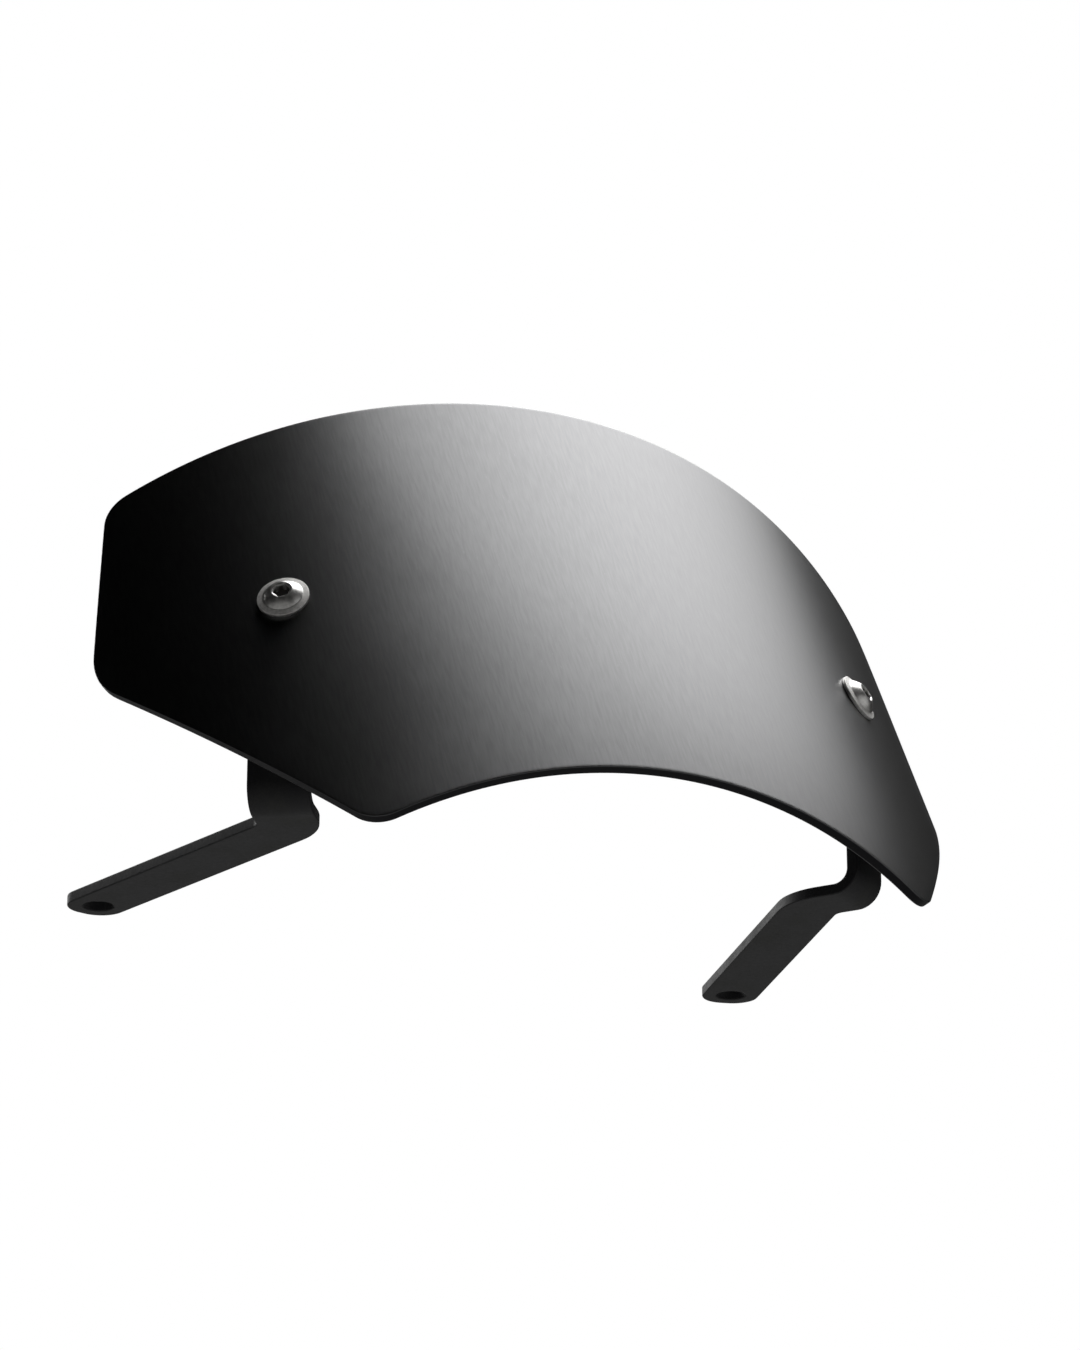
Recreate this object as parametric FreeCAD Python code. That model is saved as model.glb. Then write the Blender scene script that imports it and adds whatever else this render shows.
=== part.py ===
import FreeCAD
import Part
import math
import os

# Motorcycle windshield: a rolled aluminium screen, screwed to two folded steel brackets.
# Millimetres. X runs to the right as seen from the front, Y rearwards and Z up.
# The origin lies midway between the bracket holes, on the plane that the arms' undersides share.
# Left and right are as seen from the front.

# Where the screen stands: from the bracket holes to the foot of its middle line
SCREEN_REACH = 156.0
SCREEN_DROP = 4.0
SCREEN_LEAN = 29.0

# The rolled sheet
ROLL_RADIUS = 160.0
SHEET = 2.5

# Flat pattern of the sheet: widths from its middle line, heights from the level of its tips
TOP_HEIGHT = 153.5
TOP_RADIUS = 610.0
SIDE_WIDTH = 142.5
SIDE_HEIGHT = 79.5
SIDE_TAPER = 13.2
LOWER_SLANT = 37.0
ARCH_HEIGHT = 11.0
ARCH_RADIUS = 260.0
UPPER_ROUND = 10.0
LOWER_ROUND = 20.0
TIP_ROUND = 9.0

# Screws on the flat pattern
SCREW_WIDTH = 88.5
SCREW_HEIGHT = 82.8

# Flanged button-head screw
THREAD = 6.0
FLANGE = 13.6
FLANGE_EDGE = 0.9
DOME = 10.5
DOME_FOOT = 1.3
DOME_FLAT = 5.6
HEAD_HEIGHT = 3.3
SOCKET = 4.0
SOCKET_DEPTH = 2.1
THREAD_SHOW = 2.4
THREAD_CHAMFER = 0.7

# Clearance round the thread: bigger in the sheet and the bracket, close in the ring-shaped pieces
HOLE_CLEARANCE = 0.3
RING_CLEARANCE = 0.1

# Rubber spacer, flat washer and lock nut
SPACER = 16.0
SPACER_THICKNESS = 4.0
WASHER = 12.0
WASHER_THICKNESS = 1.6
NUT = 10.0
NUT_HEX_HEIGHT = 4.2
NUT_HEIGHT = 6.0
NUT_CHAMFER = 30.0
NUT_COLLAR = 9.2
NUT_LIP = 0.5
RING = 7.8

# Bracket, folded from strip
STRIP = 3.0
STRIP_WIDTH = 16.0
STRIP_END_ROUND = 7.0
FOLD_RADIUS = 4.0
PAD_ABOVE = 11.0
PAD_BELOW = 20.0
ELBOW_REACH = 17.0
ELBOW_RADIUS = 12.0
BOLT_SPACING = 192.0
BOLT_HOLE = 8.5

ORIGIN = FreeCAD.Vector(0, 0, 0)
ACROSS = FreeCAD.Vector(1, 0, 0)
REARWARD = FreeCAD.Vector(0, 1, 0)
UP = FreeCAD.Vector(0, 0, 1)

# Points closer than this are the same point
SAME = 1e-4

# Straight through the screw, counted from the screen's front face
BACK_OF_SHEET = SHEET
PAD_FRONT = BACK_OF_SHEET + SPACER_THICKNESS
PAD_BACK = PAD_FRONT + STRIP
NUT_SEAT = PAD_BACK + WASHER_THICKNESS
NUT_END = NUT_SEAT + NUT_HEIGHT
SCREW_END = NUT_END + THREAD_SHOW
LONG_CUT = 4 * SCREW_END

SCREEN_PLACE = FreeCAD.Placement(
    FreeCAD.Vector(0, -SCREEN_REACH, -SCREEN_DROP), FreeCAD.Rotation(ACROSS, -SCREEN_LEAN))


def heading(degrees):
    """Unit vector in the flat pattern, turned from straight up towards the sheet's right."""
    angle = math.radians(degrees)
    return FreeCAD.Vector(math.sin(angle), math.cos(angle), 0)


def reach_circle(start, direction, centre, radius, turn):
    """Where a line from start meets a circle: turn is 1 for the far crossing, -1 for the near one."""
    offset = start - centre
    along = offset.dot(direction)
    return start + direction * (turn * math.sqrt(along ** 2 - offset.dot(offset) + radius ** 2) - along)


def mirrored(point):
    return FreeCAD.Vector(-point.x, point.y, point.z)


def flat_pattern():
    """Outline of the sheet before it is rolled, with its corners rounded."""
    side = FreeCAD.Vector(SIDE_WIDTH, SIDE_HEIGHT, 0)
    top_middle = FreeCAD.Vector(0, TOP_HEIGHT, 0)
    top_centre = FreeCAD.Vector(0, TOP_HEIGHT - TOP_RADIUS, 0)
    arch_middle = FreeCAD.Vector(0, ARCH_HEIGHT, 0)
    arch_centre = FreeCAD.Vector(0, ARCH_HEIGHT - ARCH_RADIUS, 0)
    upper = reach_circle(side, heading(-SIDE_TAPER), top_centre, TOP_RADIUS, 1)
    tip = reach_circle(side, heading(180 + LOWER_SLANT), arch_centre, ARCH_RADIUS, -1)
    outline = Part.Wire([
        Part.Arc(mirrored(upper), top_middle, upper).toShape(),
        Part.makeLine(upper, side),
        Part.makeLine(side, tip),
        Part.Arc(tip, arch_middle, mirrored(tip)).toShape(),
        Part.makeLine(mirrored(tip), mirrored(side)),
        Part.makeLine(mirrored(side), mirrored(upper)),
    ])
    plate = Part.Face(outline).extrude(UP * SHEET)
    for corner, radius in ((upper, UPPER_ROUND), (side, LOWER_ROUND), (tip, TIP_ROUND)):
        for point in (corner, mirrored(corner)):
            plate = plate.makeFillet(radius, standing_edges(plate, point))
    top_face = max(plate.Faces, key=lambda face: face.CenterOfMass.z)
    return top_face.OuterWire


def standing_edges(plate, point):
    """The upright edge of a flat plate that passes through a point of its outline."""
    return [edge for edge in plate.Edges
            if all(math.hypot(v.X - point.x, v.Y - point.y) < SAME for v in edge.Vertexes)]


def on_roll(point):
    """A point of the flat pattern as angle and height on the rolled front face."""
    return FreeCAD.Base.Vector2d(1.5 * math.pi + point.x / ROLL_RADIUS, point.y)


def rolled_edge(edge, front):
    """Bend one edge of the flat pattern onto the roll: an arc becomes an ellipse in angle and height."""
    start = edge.valueAt(edge.FirstParameter)
    end = edge.valueAt(edge.LastParameter)
    if isinstance(edge.Curve, Part.Line):
        return Part.Geom2d.Line2dSegment(on_roll(start), on_roll(end)).toShape(front)
    circle = edge.Curve
    tall = circle.Center + REARWARD * circle.Radius
    wide = circle.Center - ACROSS * circle.Radius
    ellipse = Part.Geom2d.Ellipse2d(on_roll(tall), on_roll(wide), on_roll(circle.Center))
    middle = edge.valueAt((edge.FirstParameter + edge.LastParameter) / 2) - circle.Center
    centre_angle = math.atan2(-middle.x, middle.y)
    half_angle = edge.Length / circle.Radius / 2
    arc = Part.Geom2d.ArcOfEllipse2d(ellipse, centre_angle - half_angle, centre_angle + half_angle)
    return arc.toShape(front)


def make_screen():
    """Roll the flat pattern round an upright axis, give it its thickness and lean it back."""
    front = Part.Cylinder()
    front.Center = FreeCAD.Vector(0, ROLL_RADIUS, 0)
    front.Radius = ROLL_RADIUS
    edges = [rolled_edge(edge, front) for edge in flat_pattern().OrderedEdges]
    face = Part.Face(front, Part.Wire(Part.__sortEdges__(edges)))
    face.validate()
    sheet = face.makeOffsetShape(-SHEET, SAME, fill=True)
    sheet.Placement = SCREEN_PLACE
    for place in (SCREW_PLACE, SCREW_PLACE_LEFT):
        sheet = sheet.cut(rod(THREAD + 2 * HOLE_CLEARANCE, -LONG_CUT / 2, LONG_CUT / 2, place))
    return sheet


def screw_place(side):
    """Frame at a screw: origin on the screen's front face, Z straight in through the sheet."""
    angle = side * SCREW_WIDTH / ROLL_RADIUS
    point = FreeCAD.Vector(ROLL_RADIUS * math.sin(angle), ROLL_RADIUS * (1 - math.cos(angle)), SCREW_HEIGHT)
    inward = FreeCAD.Vector(-math.sin(angle), math.cos(angle), 0)
    turn = FreeCAD.Rotation(UP.cross(inward), UP, inward, "ZXY")
    return SCREEN_PLACE.multiply(FreeCAD.Placement(point, turn))


def placed(shape, place):
    shape = shape.copy()
    shape.Placement = place.multiply(shape.Placement)
    return shape


def rod(diameter, start, end, place=FreeCAD.Placement()):
    """Round bar along Z from start to end."""
    return placed(Part.makeCylinder(diameter / 2, end - start, UP * start), place)


def ring(inside, outside, start, end):
    return rod(outside, start, end).cut(rod(inside, start, end))


def hexagon(across_flats, start, end):
    """Hexagonal bar along Z."""
    corner = across_flats / math.sqrt(3)
    points = [FreeCAD.Vector(corner * math.cos(k * math.pi / 3), corner * math.sin(k * math.pi / 3), start)
              for k in range(7)]
    return Part.Face(Part.makePolygon(points)).extrude(UP * (end - start))


def at(radius, height):
    return FreeCAD.Vector(radius, 0, height)


def turned(edges):
    """Solid turned about Z from the edges of its half section."""
    return Part.Face(Part.Wire(edges)).revolve(ORIGIN, UP, 360)


def ball_arc(start, end):
    """Arc of a half section between two points of a ball that is centred on Z."""
    centre = UP * ((start.dot(start) - end.dot(end)) / (2 * (start.z - end.z)))
    outward = ((start + end) / 2 - centre).normalize()
    crown = centre + outward * (start - centre).Length
    return Part.Arc(start, crown, end).toShape()


def make_screw():
    """Button head on a flange, outside the sheet, with its thread running in through the stack."""
    corners = [at(0, -HEAD_HEIGHT), at(0, SCREW_END), at(THREAD / 2 - THREAD_CHAMFER, SCREW_END),
               at(THREAD / 2, SCREW_END - THREAD_CHAMFER), at(THREAD / 2, 0), at(FLANGE / 2, 0),
               at(FLANGE / 2, -FLANGE_EDGE), at(DOME / 2, -DOME_FOOT)]
    edges = [Part.makeLine(a, b) for a, b in zip(corners, corners[1:])]
    dome_start = corners[-1]
    dome_end = at(DOME_FLAT / 2, -HEAD_HEIGHT)
    edges.append(ball_arc(dome_start, dome_end))
    edges.append(Part.makeLine(dome_end, corners[0]))
    return turned(edges).cut(hexagon(SOCKET, -HEAD_HEIGHT, SOCKET_DEPTH - HEAD_HEIGHT))


def make_spacer():
    """Rubber ring that fills the wedge between the rolled sheet and the flat pad."""
    blank = ring(THREAD + 2 * RING_CLEARANCE, SPACER, 0, PAD_FRONT)
    behind_sheet = Part.makeCylinder(ROLL_RADIUS - SHEET, 2 * TOP_HEIGHT, FreeCAD.Vector(0, ROLL_RADIUS, 0))
    behind_sheet.Placement = SCREEN_PLACE
    return placed(blank, SCREW_PLACE).common(behind_sheet)


def make_washer():
    return ring(THREAD + 2 * RING_CLEARANCE, WASHER, PAD_BACK, NUT_SEAT)


def make_nut():
    """Hexagon with its corners turned down, and a collar that holds the locking ring."""
    hex_end = NUT_SEAT + NUT_HEX_HEIGHT
    corner = NUT / math.sqrt(3)
    drop = (corner - NUT / 2) * math.tan(math.radians(NUT_CHAMFER))
    turned_down = turned([Part.makeLine(a, b) for a, b in closed_pairs([
        at(0, NUT_SEAT), at(NUT / 2, NUT_SEAT), at(corner, NUT_SEAT + drop), at(corner, hex_end - drop),
        at(NUT / 2, hex_end), at(0, hex_end)])])
    nut = hexagon(NUT, NUT_SEAT, hex_end).common(turned_down)
    nut = nut.fuse(rod(NUT_COLLAR, hex_end, NUT_END))
    nut = nut.cut(rod(THREAD + 2 * RING_CLEARANCE, NUT_SEAT, NUT_END))
    return nut.cut(rod(RING, hex_end, NUT_END - NUT_LIP)).removeSplitter()


def make_locking_ring():
    return ring(THREAD + 2 * RING_CLEARANCE, RING, NUT_SEAT + NUT_HEX_HEIGHT, NUT_END - NUT_LIP)


def closed_pairs(points):
    return zip(points, points[1:] + points[:1])


def rounded_face(points, radii):
    """Flat face with straight sides and a rounding of its own at each corner, zero for a sharp one."""
    edges = []
    starts, ends = [], []
    for k, (point, radius) in enumerate(zip(points, radii)):
        back = (points[k - 1] - point).normalize()
        ahead = (points[(k + 1) % len(points)] - point).normalize()
        half = back.getAngle(ahead) / 2
        length = radius / math.tan(half)
        starts.append(point + back * length)
        ends.append(point + ahead * length)
        if radius > 0:
            middle = (back + ahead).normalize()
            crest = point + middle * (radius / math.sin(half) - radius)
            edges.append(Part.Arc(starts[-1], crest, ends[-1]).toShape())
    for k in range(len(points)):
        edges.append(Part.makeLine(ends[k - 1], starts[k]))
    return Part.Face(Part.Wire(Part.__sortEdges__(edges)))


def side_line(path, offset, normal):
    """Points beside a bent path, at a distance to its left when looking down the normal."""
    beside = []
    for k, point in enumerate(path):
        before = (point - path[max(k - 1, 0)]) if k else (path[1] - point)
        after = (path[k + 1] - point) if k + 1 < len(path) else before
        left_before = normal.cross(before).normalize()
        left_after = normal.cross(after).normalize()
        mean = left_before + left_after
        beside.append(point + mean * (2 * offset / mean.dot(mean)))
    return beside


def make_bracket():
    """Strip with a pad behind the screw, folded down to a leg and back to a flat arm with an elbow."""
    seat = SCREW_PLACE.Base
    inward = SCREW_PLACE.Rotation.multVec(UP)
    back = FreeCAD.Vector(inward.x, inward.y, 0).normalize()
    along_fold = UP.cross(back)
    pad_up = inward.cross(along_fold).normalize()
    pad_up = pad_up * math.copysign(1, pad_up.z)
    pad_centre = seat + inward * PAD_FRONT
    pad_end = pad_centre + pad_up * PAD_ABOVE
    pad_foot = pad_centre - pad_up * PAD_BELOW
    leg_foot = FreeCAD.Vector(pad_foot.x, pad_foot.y, 0)
    elbow = leg_foot + back * ELBOW_REACH
    bolt = FreeCAD.Vector(BOLT_SPACING / 2, 0, 0)

    outer = [pad_end, pad_foot, leg_foot, leg_foot + back * (ELBOW_REACH / 2)]
    inner = side_line(outer, STRIP, along_fold * -1)
    fold_outside = FOLD_RADIUS + STRIP
    section = rounded_face(outer + inner[::-1],
                           [0, fold_outside, fold_outside, 0, 0, FOLD_RADIUS, FOLD_RADIUS, 0])
    section.translate(along_fold * (-STRIP_WIDTH / 2))
    folded = section.extrude(along_fold * STRIP_WIDTH)
    pad_corners = [edge for edge in folded.Edges
                   if all(abs((v.Point - pad_end).dot(pad_up)) < SAME for v in edge.Vertexes)
                   and abs(edge.Length - STRIP) < SAME]
    folded = folded.makeFillet(STRIP_END_ROUND, pad_corners)

    arm_way = (bolt - elbow).normalize()
    middle = [outer[-1], elbow, bolt + arm_way * (STRIP_WIDTH / 2)]
    left = side_line(middle, STRIP_WIDTH / 2, UP)
    right = side_line(middle, -STRIP_WIDTH / 2, UP)
    turn = math.copysign(1, back.cross(arm_way).z)
    left_round = ELBOW_RADIUS - turn * STRIP_WIDTH / 2
    right_round = ELBOW_RADIUS + turn * STRIP_WIDTH / 2
    arm = rounded_face(left + right[::-1],
                       [0, left_round, STRIP_END_ROUND, STRIP_END_ROUND, right_round, 0])
    bracket = folded.fuse(arm.extrude(UP * STRIP)).removeSplitter()
    bracket = bracket.cut(rod(THREAD + 2 * HOLE_CLEARANCE, 0, LONG_CUT, SCREW_PLACE))
    return bracket.cut(rod(BOLT_HOLE, -STRIP, 2 * STRIP, FreeCAD.Placement(bolt, FreeCAD.Rotation())))


def export(node, shape):
    """Write one piece as a single solid."""
    solids = shape.Solids
    if len(solids) != 1 or not solids[0].isValid():
        raise RuntimeError(node + " is not one sound solid")
    solids[0].exportStep(os.path.join("parts", node + ".step"))
    box = solids[0].BoundBox
    print(node, "volume", round(solids[0].Volume, 1), "size",
          [round(v, 1) for v in (box.XLength, box.YLength, box.ZLength)])


SCREW_PLACE = screw_place(1)
SCREW_PLACE_LEFT = screw_place(-1)

os.makedirs("parts", exist_ok=True)
export("screen", make_screen())
right_pieces = {
    "screen_screw": placed(make_screw(), SCREW_PLACE),
    "rubber_spacer": make_spacer(),
    "bracket": make_bracket(),
    "flat_washer": placed(make_washer(), SCREW_PLACE),
    "lock_nut": placed(make_nut(), SCREW_PLACE),
    "nylon_ring": placed(make_locking_ring(), SCREW_PLACE),
}
for name, piece in right_pieces.items():
    export(name + "_right", piece)
    export(name + "_left", piece.mirror(ORIGIN, ACROSS))
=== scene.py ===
# %% [markdown]
# A small fly screen for a motorcycle: one sheet of black aluminium, rolled to a smooth curve, with two
# bright screws that hold it to folded brackets behind it. The lesson starts from the solids of the same
# part, which stay in place as a fixed frame, so every piece below lands where its solid is.

# %% Load the solids
import math

import bmesh
import bpy
from mathutils import Matrix, Vector


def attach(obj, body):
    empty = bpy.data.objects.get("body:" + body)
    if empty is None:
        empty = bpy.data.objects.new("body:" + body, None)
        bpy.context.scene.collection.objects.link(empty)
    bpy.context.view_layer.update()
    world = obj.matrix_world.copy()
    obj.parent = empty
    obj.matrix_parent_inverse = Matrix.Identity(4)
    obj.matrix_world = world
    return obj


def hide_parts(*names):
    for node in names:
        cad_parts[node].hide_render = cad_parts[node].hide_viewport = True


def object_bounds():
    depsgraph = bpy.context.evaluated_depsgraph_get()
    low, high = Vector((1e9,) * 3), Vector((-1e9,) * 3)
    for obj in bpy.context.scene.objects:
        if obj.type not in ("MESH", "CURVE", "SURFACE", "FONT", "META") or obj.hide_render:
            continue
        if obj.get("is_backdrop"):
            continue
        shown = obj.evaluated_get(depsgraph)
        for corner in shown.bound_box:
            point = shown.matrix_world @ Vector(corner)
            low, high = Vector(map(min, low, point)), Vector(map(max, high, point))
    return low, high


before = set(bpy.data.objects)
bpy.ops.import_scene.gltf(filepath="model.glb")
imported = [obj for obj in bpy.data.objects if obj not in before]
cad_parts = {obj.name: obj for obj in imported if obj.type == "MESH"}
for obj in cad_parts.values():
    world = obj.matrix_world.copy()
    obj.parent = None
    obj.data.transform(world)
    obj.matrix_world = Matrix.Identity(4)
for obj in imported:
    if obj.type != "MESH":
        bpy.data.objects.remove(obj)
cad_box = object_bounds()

print("nodes:", ", ".join(sorted(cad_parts)))

# %% [markdown]
# The drawing sizes. They are written in millimetres, as a workshop would, and turned to metres once,
# because Blender works in metres. First come the sheet's place, its roll and its flat pattern, then the
# stack of pieces on each screw, counted straight inwards from the sheet's front face.

# %% Sizes of the sheet
MM = 0.001
SHEET_FOOT = Vector((0, -156, -4)) * MM
SHEET_LEAN = math.radians(29)
ROLL_RADIUS = 160 * MM
SHEET = 2.5 * MM
TOP_HEIGHT = 153.5 * MM
TOP_RADIUS = 610 * MM
SIDE = Vector((142.5, 79.5)) * MM
SIDE_TAPER = math.radians(13.2)
LOWER_SLANT = math.radians(37)
ARCH_HEIGHT = 11 * MM
ARCH_RADIUS = 260 * MM
UPPER_ROUND = 10 * MM
LOWER_ROUND = 20 * MM
TIP_ROUND = 9 * MM
SCREW_SPOT = Vector((88.5, 82.8)) * MM
print("sheet, mm: height", round(TOP_HEIGHT / MM, 1), "roll radius", round(ROLL_RADIUS / MM, 1))

# %% Sizes along a screw
THREAD = 6 * MM
HOLE = 6.6 * MM
BORE = 6.2 * MM
SPACER_THICKNESS = 4 * MM
STRIP = 3 * MM
WASHER_THICKNESS = 1.6 * MM
NUT_HEX_HEIGHT = 4.2 * MM
NUT_HEIGHT = 6 * MM
THREAD_SHOW = 2.4 * MM

PAD_FRONT = SHEET + SPACER_THICKNESS
PAD_BACK = PAD_FRONT + STRIP
NUT_SEAT = PAD_BACK + WASHER_THICKNESS
NUT_END = NUT_SEAT + NUT_HEIGHT
SCREW_END = NUT_END + THREAD_SHOW
print("screw stack, mm:", [round(z / MM, 1) for z in (PAD_FRONT, PAD_BACK, NUT_SEAT, NUT_END, SCREW_END)])

# %% [markdown]
# Node trees hold both the rules for shapes and the finishes. Setting them up node by node makes long and
# dull code, so one small class wraps a socket: an expression on numbers adds its Math nodes, and any
# other node comes from the one method, which sets the node up first and then fills or links its sockets.

# %% A socket that works in expressions
class Wire:
    """A node's output that can be added, multiplied and so on; each step adds a Math node to the tree."""

    def __init__(self, tree, socket=None):
        self.tree = tree
        self.socket = socket

    def node(self, kind, settings=None, sockets=None, output=0):
        """Add a node, set it up, fill its sockets or link wires to them, and return one of its outputs."""
        made = self.tree.nodes.new(kind)
        for name, value in (settings or {}).items():
            setattr(made, name, value)
        for name, value in (sockets or {}).items():
            several = value if isinstance(value, list) else [value]
            wires = [one for one in several if isinstance(one, Wire)]
            for wire in wires:
                self.tree.links.new(wire.socket, made.inputs[name])
            if not wires:
                made.inputs[name].default_value = value
        return Wire(self.tree, made.outputs[output] if len(made.outputs) else None)

    def math(self, operation, *values):
        return self.node("ShaderNodeMath", {"operation": operation}, dict(enumerate(values)))

    def __add__(self, other):
        return self.math("ADD", self, other)

    def __radd__(self, other):
        return self.math("ADD", other, self)

    def __sub__(self, other):
        return self.math("SUBTRACT", self, other)

    def __rsub__(self, other):
        return self.math("SUBTRACT", other, self)

    def __mul__(self, other):
        return self.math("MULTIPLY", self, other)

    def __rmul__(self, other):
        return self.math("MULTIPLY", other, self)

    def __truediv__(self, other):
        return self.math("DIVIDE", self, other)

    def __rtruediv__(self, other):
        return self.math("DIVIDE", other, self)


print("one class for every tree:", Wire.__name__)

# %% Helpers for rules and finishes
NOISE_MIDDLE = 0.5


def vector_maths(operation, first, second, output=0):
    return first.node("ShaderNodeVectorMath", {"operation": operation}, {0: first, 1: second}, output)


def smooth_step(value, low, high, from_zero=0.0, to_one=1.0):
    """Rise softly between two levels of a value."""
    sockets = {"Value": value, "From Min": low, "From Max": high, "To Min": from_zero, "To Max": to_one}
    return value.node("ShaderNodeMapRange", {"interpolation_type": "SMOOTHSTEP"}, sockets)


def mix_colours(share, first, second):
    return share.node("ShaderNodeMix", {"data_type": "RGBA"}, {0: share, 6: first, 7: second}, 2)


def grains(place, size, detail=2.0, roughness=0.5):
    """Noise between 0 and 1, with its grains as long as size along each axis."""
    stretched = vector_maths("MULTIPLY", place, [1 / length for length in size])
    sockets = {"Vector": stretched, "Scale": 1.0, "Detail": detail, "Roughness": roughness}
    return place.node("ShaderNodeTexNoise", None, sockets)


def stray(noise, amount):
    """How far a pattern strays from its middle, up to half the amount either way."""
    return (noise - NOISE_MIDDLE) * amount


print("helpers:", [helper.__name__ for helper in (vector_maths, smooth_step, mix_colours, grains, stray)])

# %% [markdown]
# The camera stands where the picture was taken from: low, to the left and in front, looking up at the
# sheet. It is turned to the part and given a longer lens, which crops the view without changing its
# perspective.

# %% Camera
CAMERA_PLACE = Vector((-488, -1065, -355)) * MM
CAMERA_AIM = Vector((-2, -76, 56)) * MM
CAMERA_LENS = 118

camera_data = bpy.data.cameras.new("camera")
camera_data.lens = CAMERA_LENS
camera = bpy.data.objects.new("camera", camera_data)
camera.location = CAMERA_PLACE
camera.rotation_euler = (CAMERA_AIM - CAMERA_PLACE).to_track_quat("-Z", "Y").to_euler()
bpy.context.scene.collection.objects.link(camera)
bpy.context.scene.camera = camera
bpy.context.scene.view_settings.view_transform = "Standard"
print("camera distance, m:", round((CAMERA_AIM - CAMERA_PLACE).length, 3))

# %% [markdown]
# Black metal is drawn by what it reflects. One soft lamp, close above the part and a little to the right,
# makes the broad pale band on the roll, brightest at the top, which is nearest to it. Its spread is narrow,
# as with a grid set in front of it, and it is turned to the right half, so the band fades to black on the
# left. A weak wide lamp to the front and right works like a white card, which the screws mirror to the
# camera and the sheet doesn't. A lamp behind the sheet serves the brackets and never shows in the front
# face.

# %% Lamps
KEY_PLACE = Vector((147, -9, 303)) * MM
KEY_AIM = Vector((75, -67, 56)) * MM
KEY_SIZE = Vector((352, 528)) * MM
KEY_SPREAD = math.radians(70)
KEY_POWER = 0.65
CARD_PLACE = Vector((875, -955, 200)) * MM
CARD_SIZE = Vector((1500, 800)) * MM
CARD_POWER = 1.8
BACK_PLACE = Vector((-420, 1160, 554)) * MM
BACK_SIZE = Vector((900, 900)) * MM
BACK_POWER = 9
WIDE = math.radians(180)


def add_lamp(name, place, aim, size, spread, power):
    """An oval soft lamp; a spread of less than a half turn keeps its light together."""
    lamp = bpy.data.lights.new(name, "AREA")
    lamp.shape = "ELLIPSE"
    lamp.size, lamp.size_y = size
    lamp.spread = spread
    lamp.energy = power
    holder = bpy.data.objects.new(name, lamp)
    holder.location = place
    holder.rotation_euler = (aim - place).to_track_quat("-Z", "Y").to_euler()
    holder.visible_camera = False
    bpy.context.scene.collection.objects.link(holder)


add_lamp("key_lamp", KEY_PLACE, KEY_AIM, KEY_SIZE, KEY_SPREAD, KEY_POWER)
add_lamp("card_lamp", CARD_PLACE, CAMERA_AIM, CARD_SIZE, WIDE, CARD_POWER)
add_lamp("back_lamp", BACK_PLACE, CAMERA_AIM, BACK_SIZE, WIDE, BACK_POWER)
print("lamps:", [light.name for light in bpy.data.lights])

# %% [markdown]
# The background is white wherever the camera looks. Metal would mirror such a white room and turn grey, so
# its reflections get a dark room instead, in which only the lamps and the floor show. Everything else gets
# a weak even light. The Light Path node tells which kind of ray is asking.

# %% White background and dark room
STUDIO_LEVEL = 0.3

world = bpy.data.worlds.new("studio")
world.use_nodes = True
world.node_tree.nodes.clear()
studio = Wire(world.node_tree)
seen = studio.node("ShaderNodeLightPath", output="Is Camera Ray")
mirrored = studio.node("ShaderNodeLightPath", output="Is Glossy Ray")
level = seen + (1 - seen - mirrored) * STUDIO_LEVEL
background = studio.node("ShaderNodeBackground", None, {"Color": (1, 1, 1, 1), "Strength": level})
studio.node("ShaderNodeOutputWorld", None, {"Surface": background})
bpy.context.scene.world = world
print("studio nodes:", len(world.node_tree.nodes))

# %% [markdown]
# The floor is a plain pale sheet well below the part, under the camera too. Looked at directly it is made
# paler still, a little near the part, where it keeps a soft shadow, and fully at its far end, so that it
# runs into the white background without a line. From underneath it is clear, so that a low view isn't
# blocked.

# %% Floor
FLOOR_DROP = 0.55
FLOOR_HALF = 12.0
FLOOR_COLOUR = (0.80, 0.80, 0.79, 1)
FLOOR_ROUGHNESS = 0.9
FLOOR_GLOSS = 0.1
FLOOR_GLOW = 0.72
FLOOR_FADE = (0.8, 6.0)


def new_material(name):
    material = bpy.data.materials.new(name)
    material.use_nodes = True
    material.node_tree.nodes.clear()
    return material, Wire(material.node_tree)


floor_finish, paint = new_material("pale_floor")
under = paint.node("ShaderNodeNewGeometry", output="Backfacing")
pale = paint.node("ShaderNodeBsdfPrincipled", None,
                  {"Base Color": FLOOR_COLOUR, "Roughness": FLOOR_ROUGHNESS,
                   "Specular IOR Level": FLOOR_GLOSS})
clear = paint.node("ShaderNodeBsdfTransparent")
white = paint.node("ShaderNodeEmission", None, {"Color": (1, 1, 1, 1), "Strength": 1.0})
spot = vector_maths("MULTIPLY", paint.node("ShaderNodeTexCoord", output="Object"), (1, 1, 0))
distance = spot.node("ShaderNodeVectorMath", {"operation": "LENGTH"}, {0: spot}, "Value")
glow = smooth_step(distance, *FLOOR_FADE, FLOOR_GLOW, 1.0)
looked_at = paint.node("ShaderNodeLightPath", output="Is Camera Ray") * glow
paler = paint.node("ShaderNodeMixShader", None, {0: looked_at, 1: pale, 2: white})
either = paint.node("ShaderNodeMixShader", None, {0: under, 1: paler, 2: clear})
paint.node("ShaderNodeOutputMaterial", None, {"Surface": either})

floor_level = cad_box[0].z - FLOOR_DROP
floor_mesh = bpy.data.meshes.new("floor")
corners = [(x * FLOOR_HALF, y * FLOOR_HALF, floor_level) for x, y in ((-1, -1), (1, -1), (1, 1), (-1, 1))]
floor_mesh.from_pydata(corners, [], [(0, 1, 2, 3)])
floor_mesh.materials.append(floor_finish)
floor = bpy.data.objects.new("floor", floor_mesh)
bpy.context.scene.collection.objects.link(floor)
floor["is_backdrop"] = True
print("floor at, m:", round(floor_level, 3))

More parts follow.
